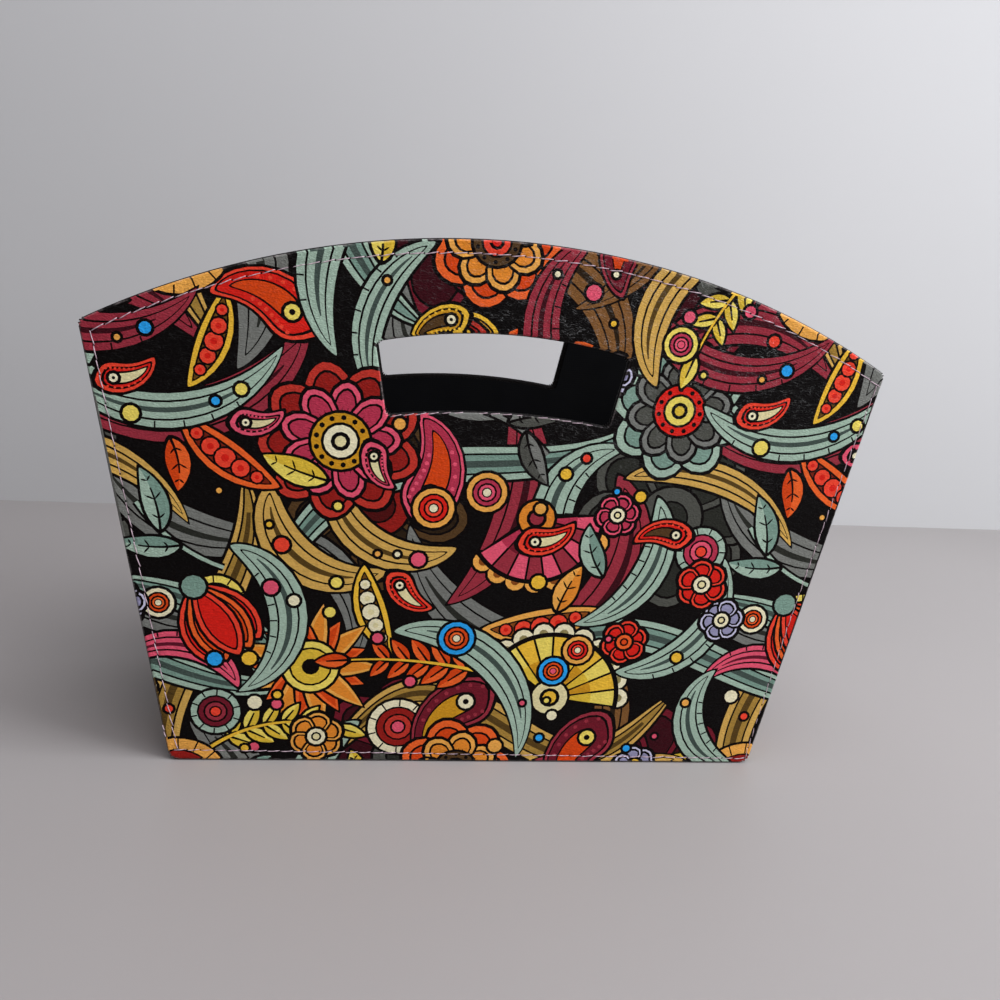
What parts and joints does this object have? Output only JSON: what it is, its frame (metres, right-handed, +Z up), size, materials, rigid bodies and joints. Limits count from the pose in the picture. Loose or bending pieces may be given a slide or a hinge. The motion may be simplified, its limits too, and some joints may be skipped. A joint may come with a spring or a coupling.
{
  "type": "craft storage basket",
  "caption": "Free-standing storage basket of flat covered board panels: arched long walls with a hand hole each, tapered end walls, black lining and a flat base.",
  "frame": {"origin": "on the floor, under the middle of the basket", "axes": "+X along the long walls to the right, -Y towards the front, +Z up"},
  "size_m": [0.3314, 0.1402, 0.2327],
  "materials": {
    "printed_skin": "satin leather-look, all-over print",
    "base_skin": "satin leather-look, black",
    "board": "matt grey board",
    "lining": "matt black"
  },
  "bodies": {
    "root": {"front_board": "board", "front_cover": "printed_skin", "front_lining": "lining", "rear_board": "board", "rear_cover": "printed_skin", "rear_lining": "lining", "left_end_board": "board", "left_end_cover": "printed_skin", "left_end_lining": "lining", "right_end_board": "board", "right_end_cover": "printed_skin", "right_end_lining": "lining", "base_board": "board", "base_cover": "base_skin", "base_lining": "lining"}
  },
  "joints": []
}
